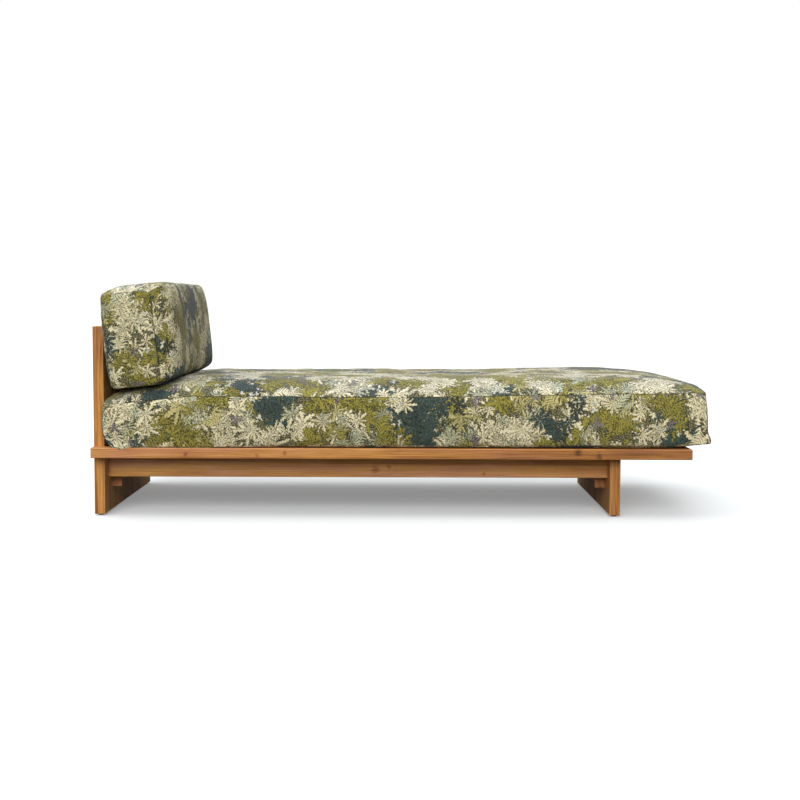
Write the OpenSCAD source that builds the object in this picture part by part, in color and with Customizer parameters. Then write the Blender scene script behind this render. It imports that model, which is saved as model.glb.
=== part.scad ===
// Outdoor daybed. Two upright slab ends carry a slatted hardwood platform on a
// pair of beams. The head slab rises past the platform as the backrest, and the
// platform runs on past the foot slab. A crowned mattress lies on the slats and
// a back cushion leans on the head slab. The head end lies towards -X, the front
// towards -Y, and the floor is at z = 0.

/* [Platform] */
// Length of the platform from the head slab to the foot rail
deck_length = 2000; // [1800:5:2200]
// Width of the platform over both side rails
deck_width = 900; // [800:5:1200]
// Height of the platform's top above the floor
deck_top = 235; // [225:1:300]
// Width of the side rails and the foot rail
rail_width = 50; // [40:1:70]
// Height of the rails
rail_height = 35; // [32:1:50]

/* [Slab ends] */
// Thickness of both slab ends
panel_thick = 35; // [32:1:45]
// Height of the head slab's top, which is the backrest's top
backrest_top = 637; // [560:1:700]
// Distance that the platform runs on past the foot slab
foot_setback = 230; // [180:1:320]

/* [Beams and cross rails] */
// Thickness of the two long beams
beam_thick = 50; // [44:1:60]
// Height of the beams
beam_height = 92; // [80:1:110]
// Distance from a slab's edge in to the beam's outer face
beam_setback = 55; // [40:1:120]
// Length of the tenon on each beam's end
tenon_length = 12; // [8:0.5:14]
// Shoulder left round each tenon
tenon_shoulder = 10; // [6:0.5:12]
// Thickness of the cross rails on the slabs' inner faces
cross_thick = 35; // [28:1:45]
// Height of the cross rails
cross_height = 132; // [110:1:150]

/* [Slats] */
// Number of slats
slat_count = 15; // [11:1:16]
// Width of one slat
slat_width = 90; // [70:1:95]
// Thickness of one slat
slat_thick = 18; // [15:1:20]
// Running gap between a slat's end and the side rail
slat_end_gap = 1; // [0.3:0.1:1.5]
// Width of the ledger strips that carry the slats' ends
ledger_width = 20; // [16:1:28]

/* [Edges] */
// Radius on the long edges of rails, beams and slabs
edge_round = 3; // [1:0.5:5]
// Radius on the long edges of the slats
slat_round = 2; // [1:0.5:4]
// Chamfer on cut ends
end_ease = 1.5; // [0.5:0.5:3]

/* [Bolts] */
// Diameter of the bolts through the slabs into the beams
bolt_d = 8; // [6:1:8]
// Diameter of the bolt's round head
bolt_head_d = 13; // [12:0.5:14]
// Height of the bolt's head
bolt_head_h = 8; // [5:0.5:8]
// Size across the flats of the socket in the head
bolt_socket = 6; // [4:1:6]
// Diameter of the washer under the head
washer_d = 17; // [16:0.5:18]
// Thickness of the washer
washer_thick = 1.6; // [1:0.1:2]
// Depth of the counterbore that hides the bolt's head
counterbore_depth = 12; // [11:0.5:14]
// Distance from the slab's inner face to the barrel nut's axis
nut_reach = 65; // [60:1:90]
// Diameter of the barrel nut
nut_d = 14; // [12:0.5:16]
// Length of the barrel nut
nut_length = 24; // [18:1:30]
// Distance of the bolts from the beam's top and bottom
bolt_edge = 24; // [22:1:28]

/* [Screws and dowels] */
// Diameter of the wood screws' shank
screw_d = 4.5; // [3.5:0.5:5]
// Diameter of the wood screws' countersunk head
screw_head_d = 8.5; // [7:0.5:9]
// Length of the screws that hold the slats
slat_screw_length = 28; // [24:1:30]
// Length of the screws that hold the ledgers
ledger_screw_length = 42; // [32:1:50]
// Length of the screws that hold the cross rails
cross_screw_length = 55; // [45:1:60]
// Diameter of the dowels between the side rails and the slabs
dowel_d = 8; // [6:0.5:10]
// Length of the dowels
dowel_length = 60; // [40:2:70]

/* [Glides] */
// Diameter of the floor glides
glide_d = 16; // [14:0.5:24]
// Height of the floor glides
glide_height = 5; // [3:0.5:10]
// Distance of a glide's centre from the slab's edge
glide_inset = 22; // [15:1:60]
// Diameter of the glide's pin
glide_pin_d = 4; // [3:0.5:6]
// Length of the glide's pin in the slab
glide_pin_length = 18; // [10:1:30]

/* [Mattress] */
// Distance that the mattress stands out past the platform's foot end
mattress_overhang = 60; // [20:1:100]
// Distance that its top seam stays back from its bottom seam there
mattress_flare = 13; // [0:1:40]
// Height of the mattress's side between its seams
mattress_thick = 171; // [140:1:200]
// Height that the top swells above the seam
mattress_crown = 59; // [20:1:80]
// Distance that the mattress's sides stay inside the platform's edges
mattress_inset = 5; // [0:1:20]
// Distance that the sides draw in halfway between the corners
mattress_waist = 3; // [0:1:15]
// Swell of the boxed sides between their seams
mattress_side_swell = 5; // [0:1:12]
// Rounding of the bottom edge
mattress_edge = 12; // [6:1:25]
// Distance that the top seam sinks at the head end
head_sag = 25; // [0:1:40]
// Distance that the top seam rises at the foot end
foot_lift = 17; // [0:1:30]

/* [Back cushion] */
// Distance that the back cushion's end seams stay inside the platform's edges
cushion_inset = 10; // [4:1:60]
// Thickness of the back cushion at its end seams
cushion_thick = 166; // [120:1:200]
// Height of the back cushion at its end seams
cushion_height = 314; // [250:1:380]
// Angle that the back cushion leans back
cushion_lean = 6; // [0:0.5:10]
// Height of the seat that it presses into the mattress, above the seam
seat_rise = 22; // [10:1:40]
// Distance that its front seams swell forward between the ends
cushion_bow = 52; // [0:1:60]
// Swell of the front between its seams
cushion_crown = 18; // [0:1:50]
// Swell of the back between its seams
cushion_back_crown = 11; // [0:1:20]
// Rise of the top between the ends
cushion_top_bow = 18; // [0:1:30]
// Swell of the top between its seams
cushion_top_crown = 9; // [0:1:30]

/* [Foam cores] */
// Padding between the mattress's foam and its cover at the sides
mattress_padding = 30; // [20:1:45]
// Height of the mattress's foam
mattress_foam = 110; // [80:1:115]
// Padding between the back cushion's foam and its cover
cushion_padding = 22; // [15:1:40]

/* [Clearances] */
// Clearance round tenons, foam and drilled fits
fit_clear = 0.3; // [0.1:0.1:0.5]
// Radial clearance of pins, dowels and screws in their holes
pin_clear = 0.05; // [0.03:0.01:0.1]
// Clearance between soft pieces and what they lean on
soft_clear = 0.3; // [0.2:0.1:1]

/* [Hidden] */

function slat_name(i) = str("slat_", i < 10 ? "0" : "", i);

teak = [0.68, 0.46, 0.27];
teak_dark = [0.55, 0.36, 0.20];
teak_pale = [0.74, 0.54, 0.34];
steel = [0.72, 0.72, 0.73];
nylon = [0.12, 0.11, 0.10];
leaf_cloth = [0.55, 0.55, 0.36];
foam = [0.93, 0.89, 0.74];

// Places along the length, with the origin under the middle of the whole piece
head_x = -(deck_length + mattress_overhang) / 2;
foot_x = head_x + deck_length;
foot_panel_x = foot_x - foot_setback - panel_thick;
foot_panel_mid = foot_panel_x + panel_thick / 2;
head_inner_x = head_x + panel_thick;
foot_rail_x = foot_x - rail_width;

// Places across the width, the same on both sides of y = 0
rail_inner = deck_width / 2 - rail_width;
panel_width = 2 * rail_inner;
beam_outer = rail_inner - beam_setback;
beam_mid = beam_outer - beam_thick / 2;
beam_inner = beam_outer - beam_thick;
ledger_inner = rail_inner - ledger_width;
ledger_mid = rail_inner - ledger_width / 2;

// Heights
slat_under = deck_top - slat_thick;
rail_bottom = deck_top - rail_height;
ledger_height = slat_under - rail_bottom;
beam_bottom = slat_under - beam_height;
cross_bottom = slat_under - cross_height;

// Slats share the length between the head slab and the foot rail evenly
slat_zone = foot_rail_x - head_inner_x;
slat_gap = (slat_zone - slat_count * slat_width) / (slat_count + 1);
slat_pitch = slat_width + slat_gap;
slat_length = panel_width - 2 * slat_end_gap;
function slat_x(i) = head_inner_x + slat_gap + (i - 1) * slat_pitch;
function gap_x(i) = slat_x(i) + slat_width + slat_gap / 2;

// Ledgers run between the slabs, and from the foot slab to the foot rail
ledger_runs = [[head_inner_x, foot_panel_x], [foot_panel_x + panel_thick, foot_rail_x]];
function clear_of_foot_panel(x) =
    abs(x - foot_panel_mid) > panel_thick / 2 + screw_head_d;
function slat_screw_xs(i) = [for (side = [-1, 1])
    let (x = slat_x(i) + slat_width / 2 + side * slat_width / 4)
    if (clear_of_foot_panel(x)) x];
ledger_screw_xs = [for (i = [1:2:slat_count - 1]) if (clear_of_foot_panel(gap_x(i))) gap_x(i)];

// Bolts, measured inwards from a slab's outer face
bolt_levels = [beam_bottom + bolt_edge, slat_under - bolt_edge];
bolt_seat = counterbore_depth - washer_thick;
bolt_tail = 3;
bolt_end = panel_thick + nut_reach + nut_d / 2 + bolt_tail;
bolt_hole_clear = 0.5;
washer_bore = bolt_d + 0.6;
counterbore_gap = 1;

// Countersunk screws
screw_head_h = 3;
screw_sink = 0.4;
screw_point = 3;
cross_screw_rows = 3;
cross_screw_edge = 26;

// Dowels join the side rails to the slabs and to the foot rail
dowel_spread = dowel_d / 2 + 4;
dowel_places = [
    for (s = [-1, 1]) [head_x + panel_thick / 2, deck_top - rail_height / 2 + s * dowel_spread],
    for (s = [-1, 1]) [foot_panel_mid + s * dowel_spread, rail_bottom + ledger_height / 2],
    for (s = [-1, 1]) [foot_x - rail_width / 2 + s * 1.5 * dowel_spread, deck_top - rail_height / 2]];
dowel_hole_tip = 2;

// The back cushion sits in the mattress and leans on the head slab's top inner edge
cushion_length = deck_width - 2 * cushion_inset;
seat_z = deck_top + mattress_thick + seat_rise;
cushion_x = head_inner_x + soft_clear + cushion_back_crown * 1.02
    + (backrest_top - seat_z) * tan(cushion_lean);

// Outlines and boards

// A rectangle with round corners, from the origin
module round_rect(w, h, r) {
    translate([r, 0]) square([w - 2 * r, h]);
    translate([0, r]) square([w, h - 2 * r]);
    for (x = [r, w - r], y = [r, h - r])
        translate([x, y]) circle(r, $fn = 48);
}

// A rectangle with cut corners, from the origin
module cut_rect(w, h, c)
    polygon([[c, 0], [w - c, 0], [w, c], [w, h - c], [w - c, h], [c, h], [0, h - c], [0, c]]);

// A board along X with round long edges and eased ends, from the origin
module board_x(l, w, h, r) intersection() {
    rotate([90, 0, 90]) linear_extrude(l) round_rect(w, h, r);
    linear_extrude(h) cut_rect(l, w, end_ease);
    translate([0, w, 0]) rotate([90, 0, 0]) linear_extrude(w) cut_rect(l, h, end_ease);
}

// The same board along Y
module board_y(w, l, h, r)
    translate([w, 0, 0]) rotate([0, 0, 90]) board_x(l, w, h, r);

// The same board standing up along Z
module board_z(w, d, l, r)
    translate([0, d, 0]) rotate([90, 0, 0]) translate([w, 0, 0]) rotate([0, 0, 90]) board_x(l, w, d, r);

// Places that repeat

// Puts its children at the outer face of each slab end, with +X running inwards
module at_panels(which = "both") {
    if (which != "foot") translate([head_x, 0, 0]) children();
    if (which != "head") translate([foot_panel_x + panel_thick, 0, 0]) mirror([1, 0, 0]) children();
}

// Puts its children on each bolt's axis, with +Z running inwards
module at_bolts(which = "both", sides = [-1, 1]) at_panels(which)
    for (side = sides, level = bolt_levels)
        translate([0, side * beam_mid, level]) rotate([0, 90, 0]) children();

// Holes for the bolts: counterbore, washer seat and shank
module bolt_holes(which = "both", sides = [-1, 1]) at_bolts(which, sides) {
    translate([0, 0, -1]) cylinder(d = washer_d + counterbore_gap, h = counterbore_depth + 1, $fn = 48);
    cylinder(d = bolt_d + bolt_hole_clear, h = bolt_end + bolt_tail, $fn = 36);
}

// Blind cross holes for the barrel nuts, drilled from the beam's inner face
module nut_holes(side) at_panels()
    for (level = bolt_levels)
        translate([panel_thick + nut_reach, side * (beam_inner - 1), level]) rotate([-90 * side, 0, 0])
            cylinder(d = nut_d + 2 * fit_clear, h = 1 + beam_thick / 2 + nut_length / 2 + fit_clear, $fn = 48);

// A countersunk screw that points down, its head's top at z = 0
module screw(length, clear = 0) {
    translate([0, 0, -length]) cylinder(d = screw_d + 2 * clear, h = length - screw_head_h, $fn = 24);
    translate([0, 0, -screw_head_h - clear])
        cylinder(d1 = screw_d + 2 * clear, d2 = screw_head_d + 2 * clear, h = screw_head_h + clear, $fn = 36);
}

// The hole that a screw leaves, open above its sunk head
module screw_hole(length) {
    translate([0, 0, -pin_clear]) screw(length + pin_clear, pin_clear);
    translate([0, 0, -pin_clear]) cylinder(d = screw_head_d + 2 * pin_clear, h = screw_sink + 1, $fn = 36);
}

module at_slat_screws(slats = [1:slat_count])
    for (i = slats, x = slat_screw_xs(i), side = [-1, 1])
        translate([x, side * ledger_mid, deck_top - screw_sink]) children();

module at_ledger_screws(sides = [-1, 1])
    for (x = ledger_screw_xs, side = sides)
        translate([x, side * (ledger_inner + screw_sink), rail_bottom + ledger_height / 2])
            rotate([90 * side, 0, 0]) children();

module at_cross_screws(which = "both") at_panels(which)
    for (row = [0:cross_screw_rows - 1], level = [cross_bottom + cross_screw_edge, slat_under - cross_screw_edge])
        translate([panel_thick + cross_thick - screw_sink,
            (row / (cross_screw_rows - 1) - 0.5) * 1.6 * beam_inner, level])
            rotate([0, 90, 0]) children();

module at_dowels(sides = [-1, 1])
    for (p = dowel_places, side = sides)
        translate([p[0], side * rail_inner, p[1]]) rotate([90, 0, 0]) children();

module dowel_holes(sides = [-1, 1]) at_dowels(sides)
    cylinder(d = dowel_d + 2 * pin_clear, h = dowel_length + dowel_hole_tip, center = true, $fn = 36);

module at_glides()
    for (x = [head_x + panel_thick / 2, foot_panel_mid], side = [-1, 1])
        translate([x, side * (panel_width / 2 - glide_inset), glide_height]) children();

module glide_holes() at_glides()
    translate([0, 0, -1]) cylinder(d = glide_pin_d + 2 * pin_clear, h = glide_pin_length + 2, $fn = 24);

// The beams' tenons, or with a clearance the mortises that take them
module tenons(side, clear = 0) at_panels()
    translate([panel_thick - tenon_length - clear, side * beam_mid - beam_thick / 2 + tenon_shoulder - clear,
        beam_bottom + tenon_shoulder - clear])
        cube([tenon_length + clear + 1, beam_thick - 2 * tenon_shoulder + 2 * clear,
            beam_height - 2 * tenon_shoulder + 2 * clear]);

// Slab ends

module slab(x, top) difference() {
    translate([x, -panel_width / 2, glide_height]) board_z(panel_thick, panel_width, top - glide_height, edge_round);
    dowel_holes();
    glide_holes();
    bolt_holes();
    at_cross_screws() screw_hole(cross_screw_length);
    for (side = [-1, 1]) tenons(side, fit_clear);
}

module head_panel() color(teak) slab(head_x, backrest_top);

module foot_panel() color(teak) slab(foot_panel_x, slat_under);

// Platform frame

module side_rail(side) difference() {
    translate([head_x, side > 0 ? rail_inner : -deck_width / 2, rail_bottom])
        board_x(deck_length, rail_width, rail_height, edge_round);
    dowel_holes([side]);
    at_ledger_screws([side]) screw_hole(ledger_screw_length);
}

module front_rail() color(teak_pale) side_rail(-1);

module rear_rail() color(teak_pale) side_rail(1);

module foot_rail() color(teak_pale) difference() {
    translate([foot_rail_x, -rail_inner, rail_bottom])
        board_y(rail_width, panel_width, rail_height, edge_round);
    dowel_holes();
}

module beam(side) difference() {
    union() {
        translate([head_inner_x, side * beam_mid - beam_thick / 2, beam_bottom])
            board_x(foot_panel_x - head_inner_x, beam_thick, beam_height, edge_round);
        tenons(side);
    }
    bolt_holes("both", [side]);
    nut_holes(side);
}

module front_beam() color(teak_dark) beam(-1);

module rear_beam() color(teak_dark) beam(1);

module cross_rail(which) difference() {
    at_panels(which) translate([panel_thick, -beam_inner, cross_bottom])
        board_y(cross_thick, 2 * beam_inner, cross_height, edge_round);
    at_cross_screws(which) screw_hole(cross_screw_length);
}

module head_cross_rail() color(teak_dark) cross_rail("head");

module foot_cross_rail() color(teak_dark) cross_rail("foot");

// Ledgers and slats

module ledger(side) difference() {
    for (run = ledger_runs)
        translate([run[0], side > 0 ? ledger_inner : -rail_inner, rail_bottom])
            cube([run[1] - run[0], ledger_width, ledger_height]);
    at_slat_screws() screw_hole(slat_screw_length);
    at_ledger_screws([side]) screw_hole(ledger_screw_length);
}

module front_ledger() color(teak_dark) ledger(-1);

module rear_ledger() color(teak_dark) ledger(1);

module slat(i) color(teak) difference() {
    translate([slat_x(i), -slat_length / 2, slat_under])
        board_y(slat_width, slat_length, slat_thick, slat_round);
    at_slat_screws([i]) screw_hole(slat_screw_length);
}

// Fixings

module rail_dowels() color(teak_pale) at_dowels()
    cylinder(d = dowel_d, h = dowel_length, center = true, $fn = 36);

module beam_bolts() color(steel) at_bolts() difference() {
    union() {
        translate([0, 0, bolt_seat - bolt_head_h]) cylinder(d = bolt_head_d, h = bolt_head_h, $fn = 48);
        translate([0, 0, bolt_seat]) cylinder(d = bolt_d, h = bolt_end - bolt_seat, $fn = 36);
    }
    translate([0, 0, bolt_seat - bolt_head_h - 1])
        cylinder(d = bolt_socket / cos(30), h = 1 + bolt_head_h / 2, $fn = 6);
}

module bolt_washers() color(steel) at_bolts() translate([0, 0, bolt_seat]) difference() {
    cylinder(d = washer_d, h = washer_thick, $fn = 48);
    translate([0, 0, -1]) cylinder(d = washer_bore, h = washer_thick + 2, $fn = 36);
}

module barrel_nuts() color(steel) at_panels()
    for (side = [-1, 1], level = bolt_levels)
        translate([panel_thick + nut_reach, side * beam_mid, level]) difference() {
            rotate([90, 0, 0]) cylinder(d = nut_d, h = nut_length, center = true, $fn = 48);
            rotate([0, 90, 0]) cylinder(d = bolt_d + 2 * pin_clear, h = nut_d + 2, center = true, $fn = 36);
        }

module slat_screws() color(steel) at_slat_screws() screw(slat_screw_length);

module ledger_screws() color(steel) at_ledger_screws() screw(ledger_screw_length);

module cross_rail_screws() color(steel) at_cross_screws() screw(cross_screw_length);

module floor_glides() color(nylon) at_glides() rotate_extrude($fn = 48)
    polygon([[0, -glide_height], [glide_d / 2 - 1.5, -glide_height], [glide_d / 2, 1.5 - glide_height],
        [glide_d / 2, 0], [glide_pin_d / 2, 0], [glide_pin_d / 2, glide_pin_length], [0, glide_pin_length]]);

// Soft forms

function clamp(x) = min(1, max(0, x));
function smooth(x) = let (c = clamp(x)) c * c * (3 - 2 * c);
// A swell that is 0 at -1 and 1 and nearly flat between them
function swell(t, power) = sqrt(max(0, 1 - pow(abs(t), power)));

// A closed skin over rings of equally many points, with a fan at each end
module skin(rings) {
    n = len(rings[0]);
    m = len(rings);
    points = concat([for (ring = rings) each ring], [centre(rings[0]), centre(rings[m - 1])]);
    sides = [for (i = [0:m - 2], j = [0:n - 1])
        let (a = i * n + j, b = i * n + (j + 1) % n, c = a + n, d = b + n)
        each [[a, c, b], [b, c, d]]];
    first = [for (j = [0:n - 1]) [j, (j + 1) % n, m * n]];
    last = [for (j = [0:n - 1]) [(m - 1) * n + (j + 1) % n, (m - 1) * n + j, m * n + 1]];
    polyhedron(points, concat(sides, first, last), convexity = 4);
}

function centre(ring) = let (n = len(ring)) [for (k = [0:2]) let (v = [for (p = ring) p[k]])
    (min(v) + max(v)) / 2];

// A ring drawn in towards its centre by a share, and moved
function drawn_in(ring, share, move) = let (c = centre(ring)) [for (p = ring) c + (p - c) * share + move];

// Mattress

mattress_x = head_inner_x + soft_clear;
mattress_length = foot_x + mattress_overhang - mattress_x;
mattress_half = deck_width / 2 - mattress_inset;
sag_reach = 320;
flare_reach = 200;
crown_across = 6;
crown_head = 14;
crown_foot = 6;
end_crown = 0.25;
end_round = 6;
top_steps = 14;
side_steps = 4;

function seam_height(d) = mattress_thick - head_sag * (1 - smooth(d / sag_reach))
    + foot_lift * smooth(2 * d / mattress_length - 1);
function crown_along(d) = let (s = 2 * d / mattress_length - 1)
    end_crown + (1 - end_crown) * (1 - pow(abs(s), s < 0 ? crown_head : crown_foot));
function mattress_top(d, t) = deck_top + seam_height(d)
    + mattress_crown * crown_along(d) * swell(t, crown_across);

// Height of the seat that the back cushion presses into the mattress, and of the
// slope in front of it
seat_slope = 0.3;
function seat_limit(x) = let (into = x - cushion_x, tilt = tan(cushion_lean), front = cushion_thick * cos(cushion_lean))
    seat_z + (into < front ? into * tilt : front * tilt + (into - front) * seat_slope);

function mattress_ring(d) = let (
    x = mattress_x + d,
    s = 2 * d / mattress_length - 1,
    half = mattress_half - mattress_waist * (1 - s * s) - mattress_side_swell,
    low = deck_top + mattress_edge,
    high = deck_top + seam_height(d),
    flare = mattress_flare * smooth((d - mattress_length) / flare_reach + 1),
    side = [for (k = [0:side_steps]) let (v = k / side_steps)
        [x - flare * v, half + mattress_side_swell * 4 * v * (1 - v), low + (high - low) * v]],
    top = [for (k = [1:top_steps - 1]) let (t = cos(180 * k / top_steps))
        [x - flare, half * t, min(mattress_top(d, t), seat_limit(x) - soft_clear)]])
    concat([for (y = [-half + mattress_edge, 0, half - mattress_edge]) [x, y, deck_top]],
        side, top, [for (k = [side_steps:-1:0]) [side[k][0], -side[k][1], side[k][2]]]);

mattress_stations = let (l = mattress_length, seat = cushion_x - mattress_x, t = cushion_thick)
    [0, 12, seat, seat + 0.2 * t, seat + 0.45 * t, seat + 0.7 * t, seat + t, seat + t + 30,
        seat + t + 70, seat + t + 130, for (k = [1:9]) seat + t + 130 + (l - seat - t - 430) * k / 9,
        l - 220, l - 150, l - 100, l - 60, l - 28, l - 8, l];

module mattress_form() {
    rings = [for (d = mattress_stations) mattress_ring(d)];
    last = len(rings) - 1;
    skin(concat([drawn_in(rings[0], 0.5, [0, 0, 0]), drawn_in(rings[0], 0.95, [0, 0, 0])],
        [for (i = [0:last]) [for (p = rings[i]) [i == 0 ? p[0] + end_round : p[0], p[1], p[2]]]],
        [drawn_in(rings[last], 0.95, [-end_round, 0, 0]), drawn_in(rings[last], 0.5, [0, 0, 0])]));
}

module mattress_foam_block(clear = 0) {
    low = deck_top + mattress_edge - clear;
    translate([mattress_x + mattress_padding - clear, -mattress_half + mattress_padding - clear, low])
        linear_extrude(mattress_foam + 2 * clear)
            cut_rect(mattress_length - mattress_flare - 2 * mattress_padding + 2 * clear,
                2 * (mattress_half - mattress_padding + clear), mattress_padding);
}

module mattress_cover() color(leaf_cloth) difference() {
    mattress_form();
    mattress_foam_block(fit_clear);
}

module mattress_core() color(foam) mattress_foam_block();

// Back cushion

front_roll = 36;
rear_bow_share = 0.45;
fullness = 10;
cushion_side_steps = 9;
end_panel = [[0.5, 8], [0.92, 5]];
cushion_top_steps = 6;
cushion_stations = [-1, -0.985, -0.94, -0.87, -0.77, -0.62, -0.42, -0.2, 0,
    0.2, 0.42, 0.62, 0.77, 0.87, 0.94, 0.985, 1];

// Turns a place in the cushion's thickness and height into the leaning cushion's
function leaning(a, y, b) = [cushion_x + a * cos(cushion_lean) - b * sin(cushion_lean), y,
    seat_z + a * sin(cushion_lean) + b * cos(cushion_lean)];

function cushion_ring(t) = let (
    y = -t * cushion_length / 2,
    full = swell(t, fullness),
    high = cushion_height + cushion_top_bow * full,
    rear_high = cushion_height + cushion_top_bow * full * rear_bow_share,
    top_front = cushion_thick + cushion_bow * full,
    front = [for (k = [0:cushion_side_steps]) let (v = k / cushion_side_steps, w = v * v * (3 - 2 * v),
        b = high * w, roll = 1 - pow(1 - clamp(b / front_roll), 3),
        a = cushion_thick + (cushion_bow + cushion_crown * (1 - pow(2 * w - 1, 4))) * full * roll)
        leaning(a, y, b)],
    top = [for (k = [1:cushion_top_steps - 1]) let (v = k / cushion_top_steps)
        leaning(top_front * (1 - v), y, high + (rear_high - high) * smooth(3 * v - 2)
            + cushion_top_crown * full * (1 - pow(2 * v - 1, 4)))],
    back = [for (k = [0:cushion_side_steps - 1]) let (v = 1 - k / cushion_side_steps, w = v * v * (3 - 2 * v))
        leaning(-cushion_back_crown * full * (1 - pow(2 * w - 1, 4)), y, rear_high * w)],
    base = [for (k = [0:2]) leaning(cushion_thick * k / 3, y, 0)])
    concat(base, front, top, back);

module back_cushion_form() {
    rings = [for (t = cushion_stations) cushion_ring(t)];
    last = len(rings) - 1;
    skin(concat([for (e = end_panel) drawn_in(rings[0], e[0], [0, e[1], 0])], rings,
        [for (i = [1:-1:0]) drawn_in(rings[last], end_panel[i][0], [0, -end_panel[i][1], 0])]));
}

module cushion_foam_block(clear = 0) {
    pad = cushion_padding - clear;
    translate([cushion_x, 0, seat_z]) rotate([0, -cushion_lean, 0])
        translate([pad, -cushion_length / 2 + pad, pad])
            cube([cushion_thick - 2 * pad, cushion_length - 2 * pad, cushion_height - 2 * pad]);
}

module back_cushion_cover() color(leaf_cloth) difference() {
    back_cushion_form();
    cushion_foam_block(fit_clear);
}

module back_cushion_core() color(foam) cushion_foam_block();

head_panel();
foot_panel();
front_rail();
rear_rail();
foot_rail();
front_beam();
rear_beam();
head_cross_rail();
foot_cross_rail();
front_ledger();
rear_ledger();
rail_dowels();
beam_bolts();
bolt_washers();
barrel_nuts();
slat_screws();
ledger_screws();
cross_rail_screws();
floor_glides();
mattress_cover();
mattress_core();
back_cushion_cover();
back_cushion_core();
for (i = [1:slat_count]) slat(i);
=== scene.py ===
import math

import bpy
import numpy as np
from mathutils import Matrix, Vector


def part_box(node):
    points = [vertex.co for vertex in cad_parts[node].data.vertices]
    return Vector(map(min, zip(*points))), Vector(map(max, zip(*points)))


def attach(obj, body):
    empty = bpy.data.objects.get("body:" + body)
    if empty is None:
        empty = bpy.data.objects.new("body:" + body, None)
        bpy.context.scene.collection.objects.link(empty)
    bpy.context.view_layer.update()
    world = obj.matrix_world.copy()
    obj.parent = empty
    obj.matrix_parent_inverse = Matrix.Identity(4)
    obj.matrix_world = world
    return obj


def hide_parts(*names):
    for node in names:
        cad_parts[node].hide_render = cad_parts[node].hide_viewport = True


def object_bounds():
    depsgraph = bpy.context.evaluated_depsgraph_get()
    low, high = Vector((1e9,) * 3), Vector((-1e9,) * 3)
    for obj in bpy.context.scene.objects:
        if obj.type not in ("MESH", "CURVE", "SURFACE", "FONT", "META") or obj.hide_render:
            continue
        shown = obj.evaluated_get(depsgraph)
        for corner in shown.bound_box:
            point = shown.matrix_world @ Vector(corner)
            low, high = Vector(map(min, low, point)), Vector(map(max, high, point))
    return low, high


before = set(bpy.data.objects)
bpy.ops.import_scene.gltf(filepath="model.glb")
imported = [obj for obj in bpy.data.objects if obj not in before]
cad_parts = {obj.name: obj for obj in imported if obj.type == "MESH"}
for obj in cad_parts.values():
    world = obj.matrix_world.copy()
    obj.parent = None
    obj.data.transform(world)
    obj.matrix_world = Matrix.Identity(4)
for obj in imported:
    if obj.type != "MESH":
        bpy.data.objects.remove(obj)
cad_low, cad_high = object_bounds()


# Slab ends. Each is one board of upright teak staves, glued edge to edge, then
# sanded, oiled and left outdoors. The head slab runs on up as the backrest, and
# bolts through both slabs hold the beams.

X, Y, Z = 0, 1, 2


def seen(red, green, blue):
    """A colour as the eye reads it, 0 to 255, turned into linear light."""
    parts = [c / 255 for c in (red, green, blue)]
    return tuple(p / 12.92 if p <= 0.04045 else ((p + 0.055) / 1.055) ** 2.4 for p in parts) + (1.0,)


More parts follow.
